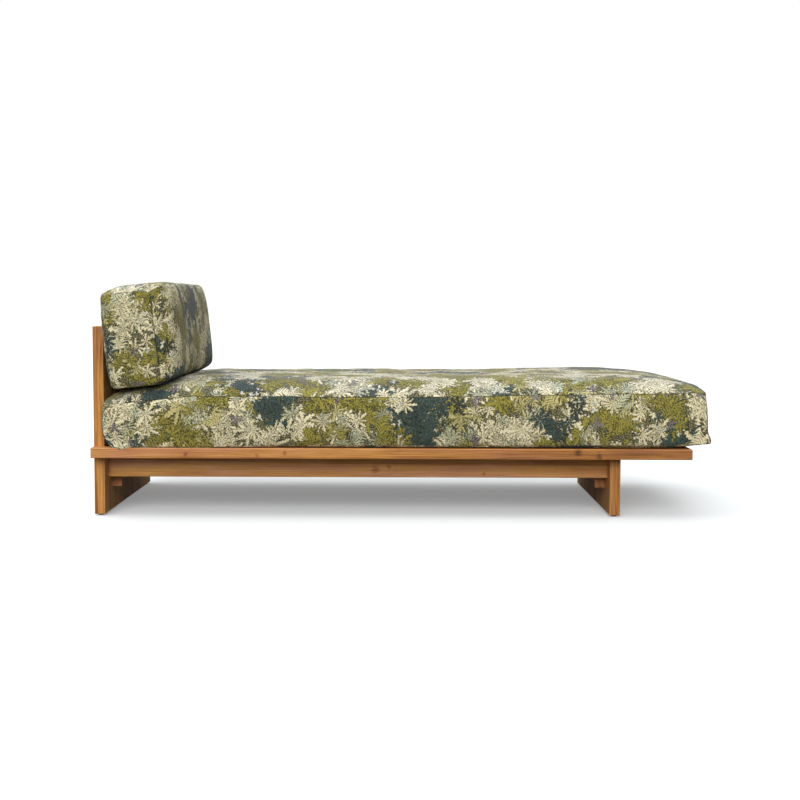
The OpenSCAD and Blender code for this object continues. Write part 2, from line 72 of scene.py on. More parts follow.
class Wire:
    """One output of a node. Sums on it add Math nodes to its tree."""

    def __init__(self, tree, socket=None):
        self.tree, self.socket = tree, socket

    def add(self, kind, settings, sockets, out=0):
        """A new node: its settings are made first, then its sockets get their values or wires."""
        made = self.tree.nodes.new(kind)
        for key, value in settings.items():
            if key == "stops":
                ramp = made.color_ramp.elements
                while len(ramp) < len(value):
                    ramp.new(1)
                for stop, (position, colour) in zip(ramp, value):
                    stop.position, stop.color = position, colour
            else:
                setattr(made, key, value)
        for key, value in sockets.items():
            if isinstance(value, Wire):
                self.tree.links.new(value.socket, made.inputs[key])
            else:
                made.inputs[key].default_value = value
        return Wire(self.tree, made.outputs[out] if made.outputs else None)

    def beside(self, name):
        """Another output of the same node."""
        return Wire(self.tree, self.socket.node.outputs[name])

    def math(self, operation, *others):
        return self.add("ShaderNodeMath", {"operation": operation}, dict(enumerate([self, *others])))

    def __add__(self, other):
        return self.math("ADD", other)

    def __sub__(self, other):
        return self.math("SUBTRACT", other)

    def __rsub__(self, other):
        return self.add("ShaderNodeMath", {"operation": "SUBTRACT"}, {0: other, 1: self})

    def __mul__(self, other):
        return self.math("MULTIPLY", other)

    def __truediv__(self, other):
        return self.math("DIVIDE", other)

    def __pow__(self, other):
        return self.math("POWER", other)

    def __abs__(self):
        return self.math("ABSOLUTE")

    __radd__, __rmul__ = __add__, __mul__

    def rise(self, start, end):
        """A soft step from 0 at start to 1 at end."""
        return self.add("ShaderNodeMapRange", {"interpolation_type": "SMOOTHSTEP"},
                        {"Value": self, "From Min": start, "From Max": end})

    def limited(self):
        """This value, kept from 0 to 1."""
        return self.math("MAXIMUM", 0.0).math("MINIMUM", 1.0)

    def vector(self, operation, other, out=0):
        return self.add("ShaderNodeVectorMath", {"operation": operation}, {0: self, 1: other}, out)

    def length(self):
        return self.vector("LENGTH", (0.0, 0.0, 0.0), "Value")

    def parts(self):
        first = self.add("ShaderNodeSeparateXYZ", {}, {"Vector": self})
        return first, first.beside("Y"), first.beside("Z")

    def joined(self, second, third):
        return self.add("ShaderNodeCombineXYZ", {}, {0: self, 1: second, 2: third})

    def over(self, below, colour):
        """This mask lays a colour over the colour below."""
        return self.add("ShaderNodeMix", {"data_type": "RGBA"}, {0: self, 6: below, 7: colour}, 2)

    def ramp(self, stops, between="LINEAR"):
        """The colour that a row of stops has at this value."""
        colour = self.add("ShaderNodeValToRGB", {"stops": stops}, {"Fac": self})
        colour.socket.node.color_ramp.interpolation = between
        return colour

    def noise(self, scale, detail=2.0):
        """Noise at this place, with three scales if it is stretched."""
        if isinstance(scale, tuple):
            return self.vector("MULTIPLY", scale).noise(1.0, detail)
        return self.add("ShaderNodeTexNoise", {}, {"Vector": self, "Scale": scale, "Detail": detail})


def new_finish(name, coordinate="Object"):
    """A new material, and the wire of the coordinate that it is worked out from."""
    made = bpy.data.materials.new(name)
    made.use_nodes = True
    made.node_tree.nodes.clear()
    return made, Wire(made.node_tree).add("ShaderNodeTexCoord", {}, {}, coordinate)


def seal(relief, depth, strength, fixed, varying):
    """Ends a material with a relief of this depth in metres and the shader's fixed and varying inputs."""
    normal = relief.add("ShaderNodeBump", {}, {"Height": relief, "Distance": depth, "Strength": strength})
    shader = relief.add("ShaderNodeBsdfPrincipled", {}, {**fixed, **varying, "Normal": normal})
    shader.add("ShaderNodeOutputMaterial", {}, {"Surface": shader})


def put_on(material, *nodes):
    """Gives CAD nodes a finish."""
    for name in nodes:
        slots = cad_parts[name].data.materials
        slots.clear()
        slots.append(material)


def span(node, axis):
    """The middle and the half size of a CAD node along an axis."""
    low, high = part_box(node)
    return (low[axis] + high[axis]) / 2, (high[axis] - low[axis]) / 2


def section(node, first, second, repeat=None):
    """A board's middle and half size across two axes. On the first it may repeat, as a mirrored "pair" or as
    a row with this pitch."""
    return {first: (span(node, first), repeat), second: (span(node, second), None)}


teak_tones = [(0.00, seen(228, 178, 116)), (0.28, seen(204, 149, 88)), (0.50, seen(178, 121, 64)),
              (0.74, seen(136, 85, 40)), (1.00, seen(80, 45, 20))]
rosy, golden = (0.97, 0.95, 1.44), (1.08, 1.12, 0.88)
side_number, stave_number = 2.3, 3.1
pith_depth, pith_spread = 0.06, 0.10
ring_width, ring_waver, ring_ripple, ring_relief = 0.0056, 0.034, 0.003, 0.25
knot_along, knot_across, knot_bulge, knot_fray, knot_edge = 0.9, 0.75, 0.016, 1.6, 1.4
glue_line, lighter_rim_width, sharp_edge = 0.0006, 0.0035, 0.0005


def boards(xyz, grain, across, stave, seed):
    """Tells boards and a slab's staves apart. Gives each one's random numbers, the place across it from its
    middle, the distance to its edges, and the glue lines."""
    number, widths, rims, glue = xyz[grain] * 0.0 + seed, [], [], None
    for axis, ((middle, half), repeat) in across.items():
        at = xyz[axis]
        if repeat == "pair":
            number = number + at.math("SIGN") * side_number
            at = abs(at)
        elif repeat:
            turn = ((at - middle) / repeat).math("ROUND")
            number = number + turn
            at = at - turn * repeat
        rims.append(half - abs(at - middle))
        if stave and axis == Y:
            lane = (at / stave).math("FLOOR")
            number = number + lane * stave_number
            at = at - (lane + 0.5) * stave
            glue = (stave / 2 - abs(at)).rise(glue_line, glue_line / 3)
            widths.append(at)
        else:
            widths.append(at - middle)
    chance = number.add("ShaderNodeTexWhiteNoise", {"noise_dimensions": "1D"}, {"W": number * 0.731}, "Color")
    return chance.parts(), widths, rims[0].math("MAXIMUM", rims[1]), glue


def teak(name, grain, across, shade=0.0, painted_falloff=0.0, stave=None, knots=(), seed=0):
    """Oiled teak with its grain along one axis, and painted shade that makes it darker by so much a metre
    along it. across is the board's section, stave the width of its glued strips, if any, and knots are
    places and sizes."""
    made, place = new_finish(name)
    xyz = place.parts()
    chance, widths, rim, glue = boards(xyz, grain, across, stave, seed)
    moved = [at + luck * far for at, luck, far in zip((xyz[grain], *widths), chance, (9.0, 5.0, 7.0))]
    fibre_place = moved[0].joined(*moved[1:])

    off_side = widths[0] - (chance[1] - 0.5) * pith_spread
    off_face = widths[1] + pith_depth + chance[2] * pith_spread
    meander = fibre_place.noise((1.6, 7.0, 7.0)) - 0.5
    ripple = fibre_place.noise((7.0, 60.0, 60.0))
    pith = (off_side ** 2.0 + off_face ** 2.0) ** 0.5 + meander * ring_waver + ripple * ring_ripple
    eyes = None
    for x, y, z, size in knots:
        stretch = tuple(knot_along if axis == grain else knot_across for axis in (X, Y, Z))
        away = place.vector("SUBTRACT", (x, y, z)).vector("MULTIPLY", stretch).length() / size
        pith = pith + knot_bulge * (1 + away * away) ** -1.0
        frayed = away + fibre_place.noise((60.0, 200.0, 200.0)) * knot_fray - knot_fray / 2
        eye = frayed.rise(knot_edge, 0.0)
        eyes = eye if eyes is None else eyes.math("MAXIMUM", eye)

    late = (pith / ring_width).math("FRACT") ** 3.0
    fibres = fibre_place.noise((5.0, 230.0, 230.0), 3.0)
    pores = fibre_place.noise((40.0, 1250.0, 1250.0), 1.0).rise(0.60, 0.70)
    cloud = fibre_place.noise((0.9, 9.0, 9.0)) * 0.30 + fibre_place.noise((5.0, 30.0, 30.0), 3.0) * 0.42
    streaks = fibre_place.noise((0.7, 42.0, 42.0)).rise(0.54, 0.72)
    cut_end = abs(place.beside("Normal").parts()[grain]).rise(0.7, 0.9)
    # The wood is made lighter within a few millimetres of each board's edges.
    rim_lightening = rim.rise(lighter_rim_width, sharp_edge)
    depth = (cloud + late * 0.17 + fibres * 0.46 + streaks * 0.20 + pores * 0.10 + chance[0] * 0.14
             + cut_end * 0.16 - rim_lightening * 0.16 + xyz[grain] * painted_falloff + (shade - 0.30))
    if glue is not None:
        depth = depth + glue * 0.30
    if eyes is not None:
        depth = depth + eyes * 0.30
    colour = depth.ramp(teak_tones)
    drift = fibre_place.vector("ADD", (4.0, 4.0, 4.0)).noise((3.2, 22.0, 22.0), 3.0)
    colour = drift.rise(0.50, 0.66).over(colour, colour.vector("MULTIPLY", rosy))
    colour = drift.rise(0.50, 0.34).over(colour, colour.vector("MULTIPLY", golden))
    seal(fibres * 0.7 - pores * 0.5 - late * ring_relief, 0.0004, 0.45,
         {"IOR": 1.46, "Specular IOR Level": 0.32},
         {"Base Color": colour, "Roughness": fibres * 0.22 + 0.46})
    return made


stave_width = 0.1
for slab, shade, seed in (("head_panel", -0.22, 0), ("foot_panel", 0.0, 11)):
    put_on(teak(f"teak_{slab}", Z, section(slab, X, Y), shade=shade, stave=stave_width, seed=seed), slab)


# Rails. The platform's edge is two long side rails and one foot rail between
# them, solid teak, doweled to each other and to the slabs. The front one shows
# a few small knots.


def front_knots(node, spots):
    """Knots on a board's front face: their place along it and above its middle, and their size."""
    face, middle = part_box(node)[0].y, span(node, Z)[0]
    return [(x, face, middle + up, size) for x, up, size in spots]


rail_knots = front_knots("front_rail", [
    (0.590, 0.008, 0.012), (0.659, -0.007, 0.009), (-0.715, -0.003, 0.007), (-0.477, -0.006, 0.006),
    (-0.385, 0.002, 0.006)])
# The side rails get painted shade that darkens them towards the foot end, for light falling off there.
put_on(teak("teak_side_rails", X, section("rear_rail", Y, Z, "pair"), shade=0.11, painted_falloff=0.13,
            knots=rail_knots, seed=5), "front_rail", "rear_rail")
put_on(teak("teak_foot_rail", Y, section("foot_rail", X, Z), seed=8), "foot_rail")


# Beams and cross rails. Two beams run from slab to slab under the slats, on
# stub tenons. A cross rail is screwed to each slab's inner face between them.

beam_knots = front_knots("front_beam", [
    (-0.085, -0.018, 0.013), (-0.040, -0.010, 0.008), (0.285, -0.033, 0.005)])
put_on(teak("teak_beams", X, section("rear_beam", Y, Z, "pair"), shade=-0.06, knots=beam_knots, seed=3),
       "front_beam", "rear_beam")
for seed, rail in ((20, "head_cross_rail"), (21, "foot_cross_rail")):
    put_on(teak(f"teak_{rail}", Y, section(rail, X, Z), shade=0.05, seed=seed), rail)


# Ledgers, slats and dowels. The slats lie across on ledger strips that are
# screwed inside the side rails. The dowels are turned from the same wood.

slats = sorted(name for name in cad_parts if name.startswith("slat_") and name != "slat_screws")
slat_pitch = span(slats[1], X)[0] - span(slats[0], X)[0]
put_on(teak("teak_slats", Y, section(slats[0], X, Z, slat_pitch), seed=31), *slats)
put_on(teak("teak_ledgers", X, section("rear_ledger", Y, Z, "pair"), shade=0.06, seed=41),
       "front_ledger", "rear_ledger")
put_on(teak("teak_dowels", Y, section("rail_dowels", X, Z), seed=47), "rail_dowels")


# Bolts and washers. Stainless, sunk in counterbores in the slabs' outer faces,
# with barrel nuts inside the beams. Brushed, in slightly uneven greys.


def stainless():
    made, place = new_finish("brushed_stainless")
    brushing = place.noise((900.0, 900.0, 60.0), 2.0)
    grey = place.noise(140.0).ramp([(0.35, seen(176, 174, 170)), (0.70, seen(206, 205, 202))])
    seal(brushing, 0.00005, 0.3, {"Metallic": 1.0},
         {"Base Color": grey, "Roughness": brushing * 0.22 + 0.24})
    return made


steel = stainless()
put_on(steel, "beam_bolts", "bolt_washers", "barrel_nuts")


# Wood screws. Countersunk, star drive, a little below the wood. Two hold each
# end of a slat, one sits in every other gap of a ledger, and six hold each cross rail.


def new_rule(name, sizes):
    """An empty Geometry Nodes tree with named sizes, and the wires of its inputs."""
    tree = bpy.data.node_groups.new(name, "GeometryNodeTree")
    tree.interface.new_socket("Geometry", in_out="INPUT", socket_type="NodeSocketGeometry")
    for size in sizes:
        tree.interface.new_socket(size, in_out="INPUT", socket_type="NodeSocketFloat")
    tree.interface.new_socket("Geometry", in_out="OUTPUT", socket_type="NodeSocketGeometry")
    entry = tree.nodes.new("NodeGroupInput")
    return tree, {socket.name: Wire(tree, socket) for socket in entry.outputs if socket.name}


def end_rule(shape, guide, finish):
    """Ends a tree: the shape stands at each guide point, its Z along the point's axis, in its finish."""
    axis = shape.add("GeometryNodeInputNamedAttribute", {"data_type": "FLOAT_VECTOR"}, {"Name": "axis"})
    turned = axis.add("FunctionNodeAlignRotationToVector", {"axis": "Z"}, {"Vector": axis})
    placed = turned.add("GeometryNodeInstanceOnPoints", {}, {
        "Points": guide, "Instance": shape, "Rotation": turned})
    real = placed.add("GeometryNodeRealizeInstances", {}, {"Geometry": placed})
    painted = real.add("GeometryNodeSetMaterial", {}, {"Geometry": real, "Material": finish})
    painted.add("NodeGroupOutput", {}, {"Geometry": painted})


def new_object(name, data):
    made = bpy.data.objects.new(name, data)
    bpy.context.scene.collection.objects.link(made)
    return made


def work_out(name, tree, guide, sizes):
    """The plain mesh object that a rule makes of a guide mesh."""
    piece = new_object(name, guide)
    rule = piece.modifiers.new("rule", "NODES")
    rule.node_group = tree
    for item in tree.interface.items_tree:
        if item.in_out == "INPUT" and item.name in sizes:
            rule[item.identifier] = sizes[item.name]
    depsgraph = bpy.context.evaluated_depsgraph_get()
    made = bpy.data.meshes.new_from_object(
        piece.evaluated_get(depsgraph), preserve_all_data_layers=True, depsgraph=depsgraph)
    piece.modifiers.clear()
    piece.data = made
    made.name = name
    return piece


drive_lobes, drive_wave, drive_width, drive_depth = 6.0, 0.2, 0.56, 0.55


def screw_rule():
    """A screw at each guide point, its head's top there and its length against the point's axis."""
    tree, size = new_rule("screws", ("Length", "Head", "Shank", "Head height"))
    length, head_height = size["Length"], size["Head height"]
    shank = length.add("GeometryNodeMeshCylinder", {}, {
        "Vertices": 10, "Radius": size["Shank"] * 0.5, "Depth": length - head_height})
    middle = (length + head_height) * -0.5
    nothing = middle * 0.0
    shank = shank.add("GeometryNodeTransform", {}, {
        "Geometry": shank, "Translation": nothing.joined(0.0, middle)})
    head = shank.add("GeometryNodeMeshCone", {}, {
        "Vertices": 18, "Radius Top": size["Head"] * 0.5, "Radius Bottom": size["Shank"] * 0.5,
        "Depth": head_height})
    head = head.add("GeometryNodeTransform", {}, {
        "Geometry": head, "Translation": nothing.joined(0.0, head_height * -1.0)})
    top = head.add("GeometryNodeInputNormal", {}, {}).parts()[2].math("GREATER_THAN", 0.9)
    inset = head.add("GeometryNodeExtrudeMesh", {}, {"Mesh": head, "Selection": top, "Offset Scale": 0.0})
    drive = inset.beside("Top")
    narrow = inset.add("GeometryNodeScaleElements", {}, {
        "Geometry": inset, "Selection": drive, "Scale": drive_width})
    x, y, z = narrow.add("GeometryNodeInputPosition", {}, {}).parts()
    star = (y.math("ARCTAN2", x) * drive_lobes).math("COSINE") * drive_wave + 1.0
    lobed = narrow.add("GeometryNodeSetPosition", {}, {
        "Geometry": narrow, "Selection": drive, "Position": (x * star).joined(y * star, z)})
    sunk = lobed.add("GeometryNodeExtrudeMesh", {}, {
        "Mesh": lobed, "Selection": drive, "Offset Scale": head_height * -drive_depth})
    whole = sunk.add("GeometryNodeJoinGeometry", {}, {})
    for part in (shank, sunk):
        tree.links.new(part.socket, whole.socket.node.inputs[0])
    end_rule(whole, size["Geometry"], steel)
    return tree


def guide_points(name, points, axes):
    mesh = bpy.data.meshes.new(name)
    mesh.from_pydata(points, [], [])
    mesh.attributes.new("axis", "FLOAT_VECTOR", "POINT").data.foreach_set("vector", np.ravel(axes))
    return mesh


screw_sizes = {"Head": 0.0085, "Shank": 0.0045, "Head height": 0.003}
screw_sink = 0.0004
row_inset, outer_row = 0.026, 0.8
screws = screw_rule()
deck_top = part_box("slat_01")[1].z
foot_middle, foot_half = span("foot_panel", X)
ledger_middle, ledger_half = span("rear_ledger", Y)


def clear_of_slab(x):
    """Whether a screw here misses the foot slab's top edge."""
    return abs(x - foot_middle) > foot_half + screw_sizes["Head"]


slat_spots = [(x, side * ledger_middle, deck_top - screw_sink)
              for middle, half in (span(slat, X) for slat in slats)
              for x in (middle - half / 2, middle + half / 2) if clear_of_slab(x) for side in (-1, 1)]
gap_middles = [(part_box(left)[1].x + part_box(right)[0].x) / 2 for left, right in zip(slats[0::2], slats[1::2])]
ledger_spots = [(x, side * (ledger_middle - ledger_half + screw_sink), span("rear_ledger", Z)[0])
                for x in gap_middles if clear_of_slab(x) for side in (-1, 1)]
cross_low, cross_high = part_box("head_cross_rail")
cross_rows = [(y, z) for y in (-outer_row * cross_high.y, 0.0, outer_row * cross_high.y)
              for z in (cross_low.z + row_inset, cross_high.z - row_inset)]
cross_faces = [(cross_high.x - screw_sink, 1), (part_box("foot_cross_rail")[0].x + screw_sink, -1)]
cross_spots = [(x, y, z) for x, way in cross_faces for y, z in cross_rows]

slat_axes = [(0, 0, 1)] * len(slat_spots)
ledger_axes = [(0, -math.copysign(1, y), 0) for x, y, z in ledger_spots]
cross_axes = [(way, 0, 0) for x, way in cross_faces for row in cross_rows]
screw_sets = [("slat_screws", slat_spots, slat_axes, 0.028),
              ("ledger_screws", ledger_spots, ledger_axes, 0.042),
              ("cross_rail_screws", cross_spots, cross_axes, 0.055)]
for node, spots, axes, length in screw_sets:
    guide = guide_points(node, spots, axes)
    piece = work_out(f"star_{node}", screws, guide, {"Length": length, **screw_sizes})
    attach(piece, "frame")
    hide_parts(node)


# Floor glides. Turned black nylon, pushed by a pin into the slabs' lower edges.
# They are scuffed where they slide.


def scuffed_nylon():
    made, place = new_finish("scuffed_nylon")
    grit = place.noise(900.0, 3.0)
    scuff = place.noise((60.0, 700.0, 60.0)).rise(0.55, 0.75) * place.parts()[2].rise(0.002, 0.0)
    shade = scuff.over(seen(38, 36, 34), seen(96, 92, 86))
    seal(grit, 0.0001, 0.3, {"IOR": 1.5}, {"Base Color": shade, "Roughness": grit * 0.2 + 0.42})
    return made


put_on(scuffed_nylon(), "floor_glides")


# Mattress. A boxed cover of printed outdoor cloth, six panels sewn edge to edge,
# over foam with a soft wrap that crowns it. It lies loose on the slats. Its top
# seam sinks at the head end, and its lower corners at the foot stand out a little.


def smooth(x):
    c = np.clip(x, 0, 1)
    return c * c * (3 - 2 * c)


def swell(t, power):
    """0 at -1 and 1, and nearly flat between them."""
    return np.sqrt(np.maximum(0, 1 - np.abs(t) ** power))


def bump(x, middle, reach):
    return np.exp(-((x - middle) / reach) ** 2)


def run_of(line):
    """How far along a line each of its points lies."""
    return np.concatenate([[0], np.cumsum(np.linalg.norm(np.diff(line, axis=0), axis=1))])


seam_gap, seam_zone = 0.003, 0.009
fine_steps = 4001


def even_lines(curve, cell):
    """Fractions that cut a curve into even cells, with a close pair of lines at the seam on each end."""
    fine = np.linspace(0, 1, fine_steps)
    run = run_of(curve(fine))
    cells = max(2, round((run[-1] - 2 * seam_zone) / cell))
    stops = np.concatenate([[0, seam_gap], np.linspace(seam_zone, run[-1] - seam_zone, cells + 1),
                            [run[-1] - seam_gap, run[-1]]])
    return np.interp(stops, run, fine)


def sewn_box(name, place, cell, cloth_seed):
    """A cover of six panels, each cut from its own part of the cloth. place turns fractions of a box (along,
    across, up) into a point of the filled cover. Gives the piece, the number of the vertex at each grid line,
    and which vertices are on a seam."""
    one = np.ones(fine_steps)
    lines = [even_lines(lambda f: place(f, 0.5 * one, one), cell),
             even_lines(lambda f: place(0.5 * one, f, one), cell),
             even_lines(lambda f: place(0.5 * one, 0 * one, f), cell)]
    counts = [len(line) for line in lines]
    index = np.indices(counts)
    rim = np.stack([(index[a] == 0) | (index[a] == counts[a] - 1) for a in range(3)])
    skin = rim.any(axis=0)
    grid = np.full(counts, -1)
    grid[skin] = np.arange(skin.sum())
    points = place(*[lines[a][index[a][skin]] for a in range(3)])
    on_seam = (rim.sum(axis=0) >= 2)[skin]
    dice = np.random.default_rng(cloth_seed)
    corners = [slice(None, -1), slice(1, None)]
    faces, spots = [], []
    for axis in range(3):
        for side in (0, 1):
            ids = np.take(grid, side * (counts[axis] - 1), axis)
            at = points[ids]
            rows, columns = ids.shape
            across, up = run_of(at[:, columns // 2]), run_of(at[rows // 2])
            flat = np.stack(np.meshgrid(across, up, indexing="ij"), -1) + dice.uniform(0, 9, 2)
            ring = [(0, 0), (1, 0), (1, 1), (0, 1)]
            if (side == 0) != (axis == Y):
                ring.reverse()
            faces.append(np.stack([ids[corners[a], corners[b]] for a, b in ring], -1).reshape(-1, 4))
            spots.append(np.stack([flat[corners[a], corners[b]] for a, b in ring], -2).reshape(-1, 4, 2))
    mesh = bpy.data.meshes.new(name)
    mesh.from_pydata(points.tolist(), [], np.concatenate(faces).tolist())
    mesh.uv_layers.new(name="cloth").data.foreach_set("uv", np.concatenate(spots).ravel())
    mesh.attributes.new("seam", "FLOAT", "POINT").data.foreach_set("value", on_seam.astype(np.float32))
    mesh.polygons.foreach_set("use_smooth", [True] * len(mesh.polygons))
    return new_object(name, mesh), grid, on_seam


def vectors_of(items, key):
    """A vector from each of a mesh's items."""
    flat = np.zeros(len(items) * 3)
    items.foreach_get(key, flat)
    return flat.reshape(-1, 3)


spare_cloth, foam_give, seam_groove = 0.03, 0.005, 0.0022
filling_frames = 20


def fill_with_foam(piece, on_seam):
    """Lets the filling press the panels out against their sewn seams, which hold. The cloth is cut with some
    spare, and foam lets no point move further than it gives. Ends with the seams drawn in, in puckers."""
    start = vectors_of(piece.data.vertices, "co")
    moved = start.copy()
    held = piece.vertex_groups.new(name="held")
    held.add(np.flatnonzero(on_seam).tolist(), 1.0, "REPLACE")
    cloth = piece.modifiers.new("filling", "CLOTH")
    fabric = cloth.settings
    fabric.quality = 5
    fabric.use_pressure = True
    fabric.uniform_pressure_force = 4.0
    fabric.bending_stiffness = 0.3
    fabric.vertex_group_mass = "held"
    fabric.shrink_min = -spare_cloth
    fabric.effector_weights.gravity = 0.0
    cloth.collision_settings.use_collision = False
    for number in range(1, filling_frames + 1):
        bpy.context.scene.frame_set(number)
    filled = piece.evaluated_get(bpy.context.evaluated_depsgraph_get()).data
    moved = vectors_of(filled.vertices, "co")
    piece.modifiers.remove(cloth)
    piece.vertex_groups.clear()
    bpy.context.scene.frame_set(1)
    move = moved - start
    far = np.maximum(np.linalg.norm(move, axis=1, keepdims=True), 1e-9)
    finished = start + move * foam_give * np.tanh(far / foam_give) / far
    puckers = np.random.default_rng(1).uniform(0.4, 1.6, len(start))
    finished -= vectors_of(piece.data.vertex_normals, "vector") * (on_seam * seam_groove * puckers)[:, None]
    return finished


def settle(piece, points):
    """Gives the mesh its last points and one subdivision."""
    piece.data.vertices.foreach_set("co", points.ravel())
    piece.data.update()
    finer = piece.modifiers.new("finer", "SUBSURF")
    finer.levels = finer.render_levels = 1


mattress_low, mattress_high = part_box("mattress_cover")
mattress_length = mattress_high.x - mattress_low.x
slab_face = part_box("head_panel")[1].x
touch_gap, cloth_gap, dent_gap = 0.0003, 0.0005, 0.0004
edge_margin, edge_drop = 0.0012, 0.02
side_height, side_swell, waist = 0.171, 0.005, 0.003
crown, end_crown = 0.054, 0.25
head_sag, sag_reach = 0.025, 0.32
foot_lift, foot_flare, flare_reach = 0.017, 0.013, 0.2
hem, hem_reach = 0.008, 0.012
foot_rise, foot_curl = 0.0142, 0.175
tuck_depth, tuck_height, tuck_length = 0.052, 0.062, 0.12
end_hollow, hollow_reach = 0.004, 0.03
cushion_lean = math.radians(6)
cushion_thick, cushion_height = 0.166, 0.314
back_crown = 0.011
seat_crown, seat_slope, dent_reach = 0.022, 0.3, 0.02
seat_height = deck_top + side_height + seat_crown
seat_start = (slab_face + touch_gap + back_crown * 1.02
              + (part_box("head_panel")[1].z - seat_height) * math.tan(cushion_lean))


def seat_limit(x):
    """Height to which the back cushion presses the mattress down, and the slope before it."""
    into = x - seat_start
    front = cushion_thick * math.cos(cushion_lean)
    pressed = np.minimum(into, front) * math.tan(cushion_lean)
    return seat_height + pressed + np.maximum(into - front, 0) * seat_slope


def curled(x):
    """How far the underside has risen, 0 to 1, along the last stretch before the foot end."""
    return np.clip((x - mattress_high.x) / foot_curl + 1, 0, 1)


def mattress_point(along, across, up):
    """A point of the mattress at fractions of its length, width and height."""
    d = along * mattress_length
    side, end = 2 * across - 1, 2 * along - 1
    half = mattress_high.y - side_swell - waist * (1 - end ** 2)
    wander = 0.0007 * np.sin(d * 23) + 0.0005 * np.sin(d * 61 + 1) + 0.0013 * np.sin(d * 7.3 + 2 * side)
    seam = side_height - head_sag * (1 - smooth(d / sag_reach)) + foot_lift * smooth(end) + wander
    length_crown = end_crown + (1 - end_crown) * (1 - np.abs(end) ** np.where(end < 0, 14, 6))
    top = deck_top + seam + crown * length_crown * swell(side, 6)
    top = np.minimum(top, seat_limit(mattress_low.x + d) - cloth_gap)
    # The lower seam stands off the deck past the cushion, and a little more towards the foot
    curl = curled(mattress_low.x + d)
    past_side = smooth(2 - (1 - np.abs(side)) * half / hem_reach)
    past_end = smooth(2 - np.minimum(along, 1 - along) * mattress_length / hem_reach)
    under = hem * (0.9 * smooth(d / 0.3 - 1) + 0.4 * smooth(d / 0.5 - 2.6)) * (1 - 0.75 * curl)
    bottom = deck_top + 2 * touch_gap + foot_rise * curl + under * np.maximum(past_side, past_end)
    z = bottom + (top - bottom) * up
    y = side * (half + side_swell * 4 * up * (1 - up)) + 0.0015 * np.sin(d * 17 + 3) * np.abs(side)
    # The head's lower corners tuck in, the foot end slopes, and both ends swell in the middle
    tuck = np.clip(1 - (z - deck_top) / tuck_height, 0, 1)
    x = (mattress_low.x + cloth_gap + d * (1 - 2 * cloth_gap)
         - foot_flare * up * smooth((d - mattress_length) / flare_reach + 1)
         + tuck_depth * (1 - np.sqrt(1 - tuck ** 2)) * np.clip(1 - d / tuck_length, 0, 1) * np.abs(side) ** 8)
    flat_end = 1 - 4 * up * (1 - up) * (1 - side ** 2)
    x = x + end_hollow * np.clip(1 - d / hollow_reach, 0, 1) * flat_end
    x = x - end_hollow * smooth(1 - (mattress_length - d) / hollow_reach) * flat_end
    # The lower front corner at the head sags over the rail, and those at the foot stand out as ears
    sag = bump(x, -0.935, 0.040) * bump(up, 0, 0.10) * np.clip(-side - 0.96, 0, 0.04) / 0.04
    ear = bump(along, 1, 0.012) * bump(up, 0.07, 0.10) * np.clip(np.abs(side) - 0.93, 0, 0.07) / 0.07
    return np.stack([x + 0.009 * ear, y - 0.011 * sag + 0.004 * ear * side, z - 0.009 * sag], -1)


mattress, mattress_grid, mattress_seams = sewn_box("mattress_sewn", mattress_point, 0.0125, 41)
x, y, z = fill_with_foam(mattress, mattress_seams).T
z = np.where(x < seat_start + cushion_thick + dent_reach, np.minimum(z, seat_limit(x) - dent_gap), z)
x = np.maximum(x, slab_face + touch_gap)
over_deck = (np.abs(y) < cad_high.y + edge_margin) & (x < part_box("front_rail")[1].x)
z = np.where(over_deck, np.maximum(z, deck_top + cloth_gap), z)
hang = edge_drop * (1 - np.minimum(curled(x) * 4, 1))
z = np.maximum(z, deck_top - hang + foot_rise * 0.95 * curled(x))
settle(mattress, np.stack([x, y, z], -1))


# The cloth. Woven outdoor canvas in a free print of foliage: toothed leaves and
# fronds in drifts of cream, grey-green and olive, with dark clumps of deep teal.
# Faces turned to the sky get a greyer, bluer tint, as a painted sheen.

thread_pitch = 0.0014
green_patches, dark_patches, dark_from = 8.0, 4.2, 0.605
side_tint, painted_sheen_tint = (1.03, 1.02, 0.97), (0.93, 0.97, 1.10)
ink, shadow, yarn, seam_thread_and_shade = seen(34, 36, 26), seen(30, 32, 22), seen(70, 66, 50), seen(30, 28, 22)
undergrowth = seen(130, 125, 92)
mauve = seen(44, 40, 42), seen(130, 121, 121)
white = seen(104, 108, 96), seen(212, 211, 194)
night = seen(18, 22, 22), seen(62, 68, 62)
palette = [("cream", 0.0, seen(124, 115, 84), seen(229, 220, 185)),
           ("sage", 0.484, seen(44, 48, 34), seen(186, 187, 156)),
           ("moss", 0.510, seen(58, 55, 30), seen(188, 178, 120)),
           ("olive", 0.532, seen(40, 38, 14), seen(150, 141, 62)),
           ("teal", 0.90, seen(6, 12, 14), seen(64, 82, 78))]


def scatter(at, size, seed):
    """Cells scattered over the cloth: the place in the cell from its middle, in cells, its random numbers,
    and how green and how dark the print is at the middle."""
    shift = (seed * 1.37, seed * 2.11, 0.0)
    moved = at.vector("ADD", shift)
    cells = moved.add("ShaderNodeTexVoronoi", {"voronoi_dimensions": "2D"},
                      {"Vector": moved, "Scale": 1 / size, "Randomness": 0.9}, "Position")
    away = moved.vector("SUBTRACT", cells).vector("MULTIPLY", (1 / size, 1 / size, 0.0))
    middle = cells.vector("SUBTRACT", shift)
    green = middle.noise(green_patches, 1.0)
    dark = middle.vector("ADD", (5.0, 2.0, 0.0)).noise(dark_patches, 1.0)
    return away, cells.beside("Color").parts(), green, dark


